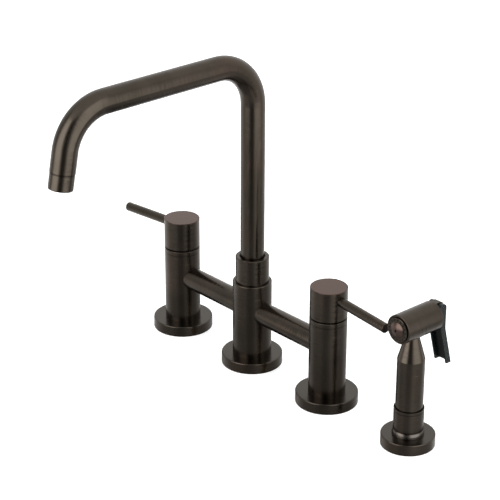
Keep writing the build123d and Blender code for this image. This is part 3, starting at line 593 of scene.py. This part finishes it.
def toward(degrees, full, none):
    """1 within so many degrees of a direction round the tent, from the gap, falling to 0."""
    angle = AZIMUTH + math.radians(degrees)
    near = cloth.dot(round_tent, (math.sin(angle), -math.cos(angle), 0.0))
    return cloth.spread(near, math.cos(math.radians(none)), math.cos(math.radians(full)))


lamp_left = toward(-54, 10, 33) * cloth.spread(tent_height, -0.24, -0.10) * LAMP_LEFT
lamp_right = toward(44, 10, 38) * cloth.spread(tent_height, -0.40, -0.20) * LAMP_RIGHT
gap = ((toward(-12, 4, 31) * GAP_NARROW + toward(-32, 12, 70) * GAP_BROAD)
       * cloth.spread(tent_height, -0.62, -0.44, GAP_LOW, 1.0))
glow = (CLOTH + toward(180, 68, 95) * CLOTH_BEHIND + lamp_left + lamp_right - gap
        - toward(-100, 25, 60) * cloth.spread(tent_height, -0.15, 0.35) * UPPER_LEFT
        - toward(75, 20, 55) * cloth.spread(tent_height, -0.20, -0.40) * LOWER_RIGHT)
cloth.set(Emission_Color=cloth.blend(glow / BRIGHTEST, grey(0), grey(1)))

turns = [2 * math.pi * k / TENT_SIDES for k in range(TENT_SIDES)]
tent = stage_mesh("tent", [
    (TENT_RADIUS * math.cos(turn), TENT_RADIUS * math.sin(turn), height)
    for height in (TENT_FOOT, TENT_TOP) for turn in turns], [
    (k, (k + 1) % TENT_SIDES, TENT_SIDES + (k + 1) % TENT_SIDES, TENT_SIDES + k)
    for k in range(TENT_SIDES)], cloth.material)
print("tent", 2 * TENT_RADIUS, "m across,", len(tent.data.polygons), "faces round")

# %% [markdown]
# Metal that stands low over a deck mirrors the deck close by, and between the columns that
# deck lies in their shade. The floor itself is left out of reflections, so a patch of shade
# that only reflections see stands in for it: black, and fading out by its alpha.

# %% The shaded deck between the columns
SHADE_CENTRE = (0.03, 0.02, 0.0)
SHADE_INNER, SHADE_OUTER = 0.12, 0.26
SHADE_DEPTH = 0.43
SHADE_HALF, SHADE_LIFT = 0.32, 0.0001   # its half side, and how far it lies over the floor

dim = Finish("deck_shade", Base_Color=grey(0), Roughness=1.0, Specular_IOR_Level=0.0)
from_middle = dim.vector("DISTANCE", dim.place(), SHADE_CENTRE, out=1)
dim.set(Alpha=dim.spread(from_middle, SHADE_INNER, SHADE_OUTER, SHADE_DEPTH, 0.0))
shade = stage_mesh("deck_shade", level_square(SHADE_HALF, SHADE_LIFT), [(0, 1, 2, 3)],
                   dim.material)
for piece in (tent, shade):
    piece.visible_camera = piece.visible_diffuse = False
    piece.visible_shadow = piece.visible_transmission = False
print("only reflections see", tent.name, "and", shade.name)

# %% [markdown]
# The lamps are four soft boxes. They light what isn't metal, and they lay the faint shadows
# that seat each flange on the deck. The metal has the tent for its light, so the lamps are
# left out of reflections, where they would show as hard bright squares.

# %% Lamps
LAMP_AIM, LAMP_DISTANCE = Vector((0, 0, 0.12)), 1.3
SOFT_BOXES = (            # name, azimuth, elevation, width, height, power
    ("left_box", -32, 34, 0.5, 0.9, 6),
    ("right_box", 128, 34, 0.5, 0.9, 6),
    ("back_box", 225, 44, 0.9, 0.6, 6),
    ("top_box", 48, 84, 1.0, 1.0, 16))

for name, azimuth, elevation, width, height, power in SOFT_BOXES:
    a, e = math.radians(azimuth), math.radians(elevation)
    away = Vector((math.sin(a) * math.cos(e), -math.cos(a) * math.cos(e), math.sin(e)))
    lamp = bpy.data.lights.new(name, "AREA")
    lamp.shape = "RECTANGLE"
    lamp.size, lamp.size_y, lamp.energy = width, height, power
    box = bpy.data.objects.new(name, lamp)
    scene.collection.objects.link(box)
    box.location = LAMP_AIM + away * LAMP_DISTANCE
    box.rotation_mode = "QUATERNION"
    box.rotation_quaternion = away.to_track_quat("Z", "Y")
    box.visible_glossy = False
scene.view_settings.view_transform = "Standard"
print(len(SOFT_BOXES), "soft boxes,", sum(entry[-1] for entry in SOFT_BOXES), "W in all")

# %% [markdown]
# ## Plain metals, plastics, rubber and ceramic
#
# Under the deck and inside the columns are the parts that nobody dresses: turned brass,
# zinc-plated steel, black rubber, white acetal and the ivory ceramic of the valve discs.
# Each gets its own small set of marks, at its real scale: tool lines and a slow stain on
# metal, a fine grain and a slow change of tone on what was moulded or fired. Two helpers
# cover them all, because within each kind only colours, gloss and depth of grain differ.

# %% Small finishes
MOULDED_GRAIN, TONE_SCALE = 900.0, 60.0                     # per metre
TOOL_LINES, TOOL_CHANGE, STAIN_SCALE = 3400.0, 40.0, 70.0   # per metre
TOOL_DEPTH = 0.02 * MM


def plain_finish(name, light, dark, rough, bump=0.02):
    """A finish with a fine even grain and a slow change of tone."""
    finish = Finish(name)
    place = finish.place()
    fine = finish.noise(place, MOULDED_GRAIN, detail=3.0)
    slow = finish.noise(place, TONE_SCALE)
    finish.set(Base_Color=finish.blend(finish.spread(slow, 0.3, 0.7), dark, light),
               Roughness=finish.spread(fine, 0.3, 0.7, rough * 0.85, rough * 1.15),
               Normal=finish.bump(fine, bump * MM))
    return finish.material


def turned_metal(name, light, dark, rough):
    """Plain metal with the fine level lines that a lathe tool leaves."""
    finish = Finish(name, Metallic=1.0)
    place = finish.place()
    line = finish.arrow(z=finish.part(place, 2) * TOOL_LINES)
    tool = finish.noise(finish.vector("ADD", finish.scaled(place, TOOL_CHANGE), line), 1.0,
                        detail=1.0)
    stain_and_painted_shade = finish.noise(place, STAIN_SCALE, detail=3.0)
    finish.set(Base_Color=finish.blend(finish.spread(stain_and_painted_shade, 0.35, 0.7), light, dark),
               Roughness=finish.spread(tool, 0.3, 0.7, rough * 0.8, rough * 1.25),
               Normal=finish.bump(tool, TOOL_DEPTH, strength=0.4))
    return finish.material


brass = turned_metal("turned_brass", (0.70, 0.50, 0.22, 1), (0.56, 0.38, 0.15, 1), 0.28)
steel = turned_metal("plated_steel", (0.62, 0.62, 0.62, 1), (0.48, 0.48, 0.50, 1), 0.32)
rubber = plain_finish("black_rubber", (0.030, 0.030, 0.031, 1), (0.018, 0.018, 0.018, 1), 0.62)
acetal = plain_finish("white_acetal", (0.80, 0.80, 0.77, 1), (0.74, 0.74, 0.71, 1), 0.42)
ceramic = plain_finish("lapped_ceramic", (0.86, 0.84, 0.78, 1), (0.80, 0.78, 0.72, 1), 0.16,
                       bump=0.004)
dark_pin = turned_metal("blackened_steel", (0.055, 0.057, 0.060, 1), (0.035, 0.036, 0.038, 1),
                        0.34)
print("plain finishes:", brass.name, steel.name, rubber.name, acetal.name, ceramic.name)

# %% [markdown]
# The trigger is black plastic. Its outside is glossy, from a polished mould, and mirrors the
# tent in a soft grey. The channel that the fingers pull is dull, and painted darker as painted
# shade. A second material on some of its faces could do that, but the solid's mesh stays as it
# is, and the channel's faces are those that point forward, so the direction of a face tells
# the two apart.

# %% The trigger's plastic
CHANNEL_FACING = -0.4     # y of the normal, under which a face belongs to the channel
TRIGGER_GRAIN = 420.0     # per metre


def moulded_trigger(name):
    """Black plastic, polished outside. The channel under the fingers was left as moulded and
    dull, and is painted darker as painted shade.
    """
    finish = Finish(name)
    fine = finish.noise(finish.place(), TRIGGER_GRAIN, detail=3.0)
    channel = finish.part(finish.facing(), 1) < CHANNEL_FACING
    gloss = finish.spread(fine, 0.3, 0.7, 0.26, 0.34)
    # The channel's darker colour is painted shade. Its higher roughness is its dull finish.
    finish.set(Base_Color=finish.blend(channel, screen_colour(14, 25, 25),
                                       screen_colour(5, 10, 10)),
               Roughness=finish.level(channel, gloss, 0.60),
               Normal=finish.bump(fine, 0.012 * MM))
    return finish.material


trigger_plastic = moulded_trigger("glossy_black_plastic")
print("trigger's plastic has", len(trigger_plastic.node_tree.nodes), "nodes")

# %% [markdown]
# ## Dressing the solids
#
# The packed record says what each solid is made of, as the name of a material slot, so most
# pieces are dressed by that word alone. The bronze pieces that turn about an axis of their
# own, or that carry marks, are named one by one after it, and dress over the first coat.
# A material is given to the object's slots, which leaves its mesh as it is.

# %% Give every solid its finish
def dress(material, *names):
    for name in names:
        for slot in nodes[name].material_slots:
            slot.material = material


slot_of = {part["node"]: part["material_slot"] for part in frame["record"]["subparts"]}
by_slot = {"bronze": bronze_upright, "spray_face": bronze_upright, "brass": brass,
           "steel": steel, "ceramic": ceramic, "rubber": rubber, "acetal": acetal,
           "black_plastic": trigger_plastic}
for name, slot_name in slot_of.items():
    dress(by_slot[slot_name], name)
dress(bronze_bridge, "left_bridge_tube", "right_bridge_tube")
dress(bronze_flange, "left_flange", "centre_flange", "right_flange", "sprayer_flange")
dress(bronze_cap, "left_handle_cap", "right_handle_cap")
dress(bronze_valve_body, "left_valve_body", "right_valve_body")
dress(bronze_lever["left"], "left_lever")
dress(bronze_lever["right"], "right_lever")
dress(bronze_spout, "spout_tube")
dress(bronze_outlet, "aerator_housing")
dress(bronze_head, "sprayer_head")
dress(bronze_face, "spray_face")
dress(bronze_holder, "sprayer_holder")
dress(bronze_upright, "left_bonnet_nut", "right_bonnet_nut")   # they show in the caps' seams
dress(dark_pin, "trigger_pin")
worn = {slot.material.name for name in slot_of for slot in nodes[name].material_slots}
print(len(slot_of), "solids wear", len(worn), "finishes")

# %% [markdown]
# ## Threads and nuts
#
# Under the deck, the faucet is held by brass nuts on long threaded shanks. The packed model
# has the shanks as plain cylinders over the crests of their threads, and the nuts as plain
# hexagons. Here they are made again with real threads and turned corners.
#
# A thread could be a picture in a bump map, or a screw modifier on a small profile. Here it
# is turned on a lathe written in Python. Each step round the axis gives one column of
# points, the thread's profile rises by its share of the pitch from step to step, and after a
# whole turn every point lands on its neighbour one thread up. Welding the first column to
# the last closes the mesh.

# %% A lathe for pieces that change as they turn
WELD = 0.001 * MM
SHARP_EDGE = math.radians(15)


def stands_for(piece, node, body):
    """Puts a made piece in the place of one solid. With no body, it is left unattached."""
    scene.collection.objects.link(piece)
    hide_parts(node)
    if body:
        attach(piece, body)
    return piece


def turned_piece(name, body, node, material, *forms, sides=48):
    """A mesh of forms turned about upright axes, which stands for one solid of the model.

    A form is its axis's x and a function that gives its closed outline, as (radius, height)
    in millimetres, for a share of the turn from 0 to 1."""
    points, faces = [], []
    for x, outline in forms:
        first = len(points)
        for step in range(sides + 1):
            angle = 2 * math.pi * step / sides
            column = outline(step / sides)
            points += [((x + radius * math.cos(angle)) * MM, radius * math.sin(angle) * MM,
                        height * MM) for radius, height in column]
        rows = len(column)
        for step in range(sides):
            here, there = first + step * rows, first + (step + 1) * rows
            faces += [(here + k, there + k, there + (k + 1) % rows, here + (k + 1) % rows)
                      for k in range(rows)]
    mesh = bpy.data.meshes.new(name)
    mesh.from_pydata(points, [], faces)
    weld = bmesh.new()
    weld.from_mesh(mesh)
    bmesh.ops.remove_doubles(weld, verts=weld.verts, dist=WELD)
    weld.to_mesh(mesh)
    weld.free()
    mesh.shade_smooth()
    mesh.set_sharp_from_angle(angle=SHARP_EDGE)
    mesh.materials.append(material)
    print("turned", name, "with", len(mesh.polygons), "faces")
    return stands_for(bpy.data.objects.new(name, mesh), node, body)


print("the lathe keeps edges sharp from", round(math.degrees(SHARP_EDGE)), "degrees")

# %% [markdown]
# A thread's outline is a row of trapezoids, one to a pitch: a flat root, a slope, a flat
# crest and a slope back. Near both ends the crest sinks to the root over one turn, so the
# outline starts and ends at the same two points at every step round the axis.

# %% The outline of a thread
THREAD_DEPTH = 0.6        # of the pitch
THREAD_PROFILE = ((0, 0), (0.125, 0), (0.5, 1), (0.625, 1))   # along, in pitches, and rise
HALF_INCH_PIPE, QUARTER_INCH_PIPE, HOLDER_THREAD = (10.45, 1.814), (6.55, 1.411), (12.0, 1.5)


def thread(crest, bottom, top, pitch, share):
    """The points of a thread from bottom to top, which runs out over one turn at each end."""
    depth = THREAD_DEPTH * pitch
    points = []
    for turn in range(-1, math.ceil((top - bottom) / pitch) + 1):
        for along, rise in THREAD_PROFILE:
            height = min(max(bottom + pitch * (turn + along + share), bottom), top)
            full = min(1, (height - bottom) / pitch, (top - height) / pitch)
            points.append((crest - depth * (1 - rise * full), height))
    return points


print("half inch pipe thread, depth", round(THREAD_DEPTH * HALF_INCH_PIPE[1], 2), "mm")

# %% [markdown]
# Each supply shank has the thread for the supply hose at its foot, then a relief turned
# deeper than the thread, then the thread of the lock nut. The middle shank ends in the
# smaller thread of the sprayer's hose. The connector in the sprayer's foot and the sprayer's
# holder are threaded too. Each outline starts at the foot of the bore, climbs the outside and
# comes back to the bore at the top, in millimetres, to the size of the solid it stands for.

# %% The threaded shanks
SHANK_FOOT, SHANK_TOP, SHANK_BORE = -66.0, 28.15, 6.2
RELIEF_FOOT, RELIEF_TOP, RELIEF_RADIUS = -52.0, -49.5, 9.05
HOSE_OUTLET_TOP, HOSE_BORE = -55.0, 4.3
SPRAYER_X = 2 * STATION / MM


def supply_shank(share):
    crest, pitch = HALF_INCH_PIPE
    return ([(SHANK_BORE, SHANK_FOOT)] + thread(crest, SHANK_FOOT, RELIEF_FOOT, pitch, share)
            + [(RELIEF_RADIUS, RELIEF_FOOT), (RELIEF_RADIUS, RELIEF_TOP)]
            + thread(crest, RELIEF_TOP, SHANK_TOP, pitch, share) + [(SHANK_BORE, SHANK_TOP)])


def outlet_shank(share):
    crest, pitch = HALF_INCH_PIPE
    small, fine_pitch = QUARTER_INCH_PIPE
    return ([(HOSE_BORE, SHANK_FOOT)]
            + thread(small, SHANK_FOOT, HOSE_OUTLET_TOP, fine_pitch, share)
            + thread(crest, HOSE_OUTLET_TOP, SHANK_TOP, pitch, share) + [(HOSE_BORE, SHANK_TOP)])


def hose_end(share):
    """The connector that carries the sprayer: thread, flange, spigot and its ring's groove."""
    small, fine_pitch = QUARTER_INCH_PIPE
    return ([(4.0, -14.0)] + thread(small, -14.0, -2.0, fine_pitch, share) + [
        (8.4, -2.0), (8.8, -1.6), (8.8, 3.3), (8.4, 3.7), (7.94, 3.7), (7.94, 16.5),
        (5.94, 16.5), (5.94, 18.9), (7.94, 18.9), (7.94, 25.2), (7.44, 25.7), (4.0, 25.7)])


def holder(share):
    """The sprayer's holder: threaded shank, sloping foot ring, sleeve and ledge."""
    crest, pitch = HOLDER_THREAD
    slope = [(14.3 - 0.9 * t + 0.68 * t * (1 - t), 10.9 + 4.5 * t)
             for t in (k / 8 for k in range(9))]
    return ([(10.0, -46.0)] + thread(crest, -46.0, 0.0, pitch, share)
            + [(12.0, 0.6), (12.0, 10.2), (14.3, 10.2)] + slope
            + [(13.4, 36.1), (12.95, 36.1), (12.5, 35.2), (12.5, 14.0), (10.0, 14.0)])


for side, way in (("left", -1), ("right", 1)):
    turned_piece(f"{side}_threaded_shank", "base", f"{side}_shank", brass,
                 (way * STATION / MM, supply_shank), sides=40)
turned_piece("centre_threaded_shank", "base", "centre_shank", brass, (0, outlet_shank), sides=40)
turned_piece("threaded_hose_end", "sprayer_hose_end", "hose_connector", brass,
             (SPRAYER_X, hose_end))
turned_piece("threaded_holder", "base", "sprayer_holder", bronze_holder, (SPRAYER_X, holder),
             sides=96)
print("shanks threaded at", HALF_INCH_PIPE[1], "and", QUARTER_INCH_PIPE[1], "mm")

# %% [markdown]
# A hexagon nut is sawn from bar and its two faces are turned to a shallow cone, which cuts
# the six corners back in curves. The same lathe makes it: the outline is wider towards a
# corner, and the cone starts just inside the circle that touches the flats.

# %% Nuts with turned corners
NUT_TOP, NUT_HEIGHT = -32.5, 9.0
CONE_START, CONE_ANGLE = 0.95, math.radians(30)   # from this share of the flats' circle
BORE_EDGE = 0.5           # the bevel at the mouth of the bore


def nut(across, bore):
    """The outline of a nut with its corners on the x axis, for each share of a turn."""
    cone = across / 2 * CONE_START
    foot = NUT_TOP - NUT_HEIGHT

    def outline(share):
        from_flat = math.radians((360 * share) % 60 - 30)
        reach = across / 2 / math.cos(from_flat)
        drop = (reach - cone) * math.tan(CONE_ANGLE)
        return [(bore + BORE_EDGE, foot), (cone, foot), (reach, foot + drop),
                (reach, NUT_TOP - drop), (cone, NUT_TOP), (bore + BORE_EDGE, NUT_TOP),
                (bore, NUT_TOP - BORE_EDGE), (bore, foot + BORE_EDGE)]
    return outline


turned_piece("lock_nuts_with_turned_corners", "base", "lock_nuts", brass,
             *((x * STATION / MM, nut(30.0, 10.5)) for x in (-1, 0, 1)))
turned_piece("holder_nut_with_turned_corners", "base", "holder_nut", brass,
             (SPRAYER_X, nut(34.0, 12.05)))
print("nuts", NUT_HEIGHT, "mm high, their tops at", NUT_TOP, "mm")

# %% [markdown]
# The valve's spring is the one piece that changes shape. It sits between the head, which is
# fixed, and the button, which the trigger pushes in, so it is wound as a mesh of its own. Its
# end coils lie closed, as a real spring's do, and the pull is taken up by the open coils
# between.

# %% The spring behind the button
SPRING_FOOT, SPRING_TOP, SPRING_RADIUS, SPRING_HEIGHT = 16.5, 27.15, 3.3, 112.0
WIRE_RADIUS, END_GAP = 0.35, 0.05
CLOSED_RISE = 2 * WIRE_RADIUS + 0.04   # an end coil all but touches the next
OPEN_TURNS, COIL_STEPS, WIRE_SIDES = 4, 28, 10

steps = (OPEN_TURNS + 2) * COIL_STEPS
open_rise = (SPRING_TOP - SPRING_FOOT - 2 * (WIRE_RADIUS + END_GAP)
             - 2 * CLOSED_RISE) / OPEN_TURNS
points = []
for step in range(steps + 1):
    turn = step / COIL_STEPS
    rise = (CLOSED_RISE * min(turn, 1) + open_rise * min(max(turn - 1, 0), OPEN_TURNS)
            + CLOSED_RISE * max(turn - 1 - OPEN_TURNS, 0))
    angle = 2 * math.pi * turn
    out = Vector((math.cos(angle), 0, math.sin(angle)))
    middle = Vector((SPRAYER_X, SPRING_FOOT + WIRE_RADIUS + END_GAP + rise,
                     SPRING_HEIGHT)) + out * SPRING_RADIUS
    for corner in range(WIRE_SIDES):
        a = 2 * math.pi * corner / WIRE_SIDES
        points.append((middle + out * (WIRE_RADIUS * math.cos(a))
                       + Vector((0, WIRE_RADIUS * math.sin(a), 0))) * MM)
faces = [(k * WIRE_SIDES + c, k * WIRE_SIDES + (c + 1) % WIRE_SIDES,
          (k + 1) * WIRE_SIDES + (c + 1) % WIRE_SIDES, (k + 1) * WIRE_SIDES + c)
         for k in range(steps) for c in range(WIRE_SIDES)]
faces += [tuple(WIRE_SIDES - 1 - c for c in range(WIRE_SIDES)),
          tuple(len(points) - WIRE_SIDES + c for c in range(WIRE_SIDES))]
wound = bpy.data.meshes.new("wound_valve_spring")
wound.from_pydata(points, [], faces)
wound.shade_smooth()
wound.materials.append(steel)
spring = stands_for(bpy.data.objects.new("wound_valve_spring", wound), "plunger_spring", None)
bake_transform(spring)
print("spring of", OPEN_TURNS + 2, "turns, open coils rise", round(open_rise, 2), "mm")

# %% [markdown]
# ## Sizes
#
# A dressed model must be as large as the solids it stands for. A slip in one number could
# let a thread or a nut stand out past them, and a picture from one side wouldn't show it.
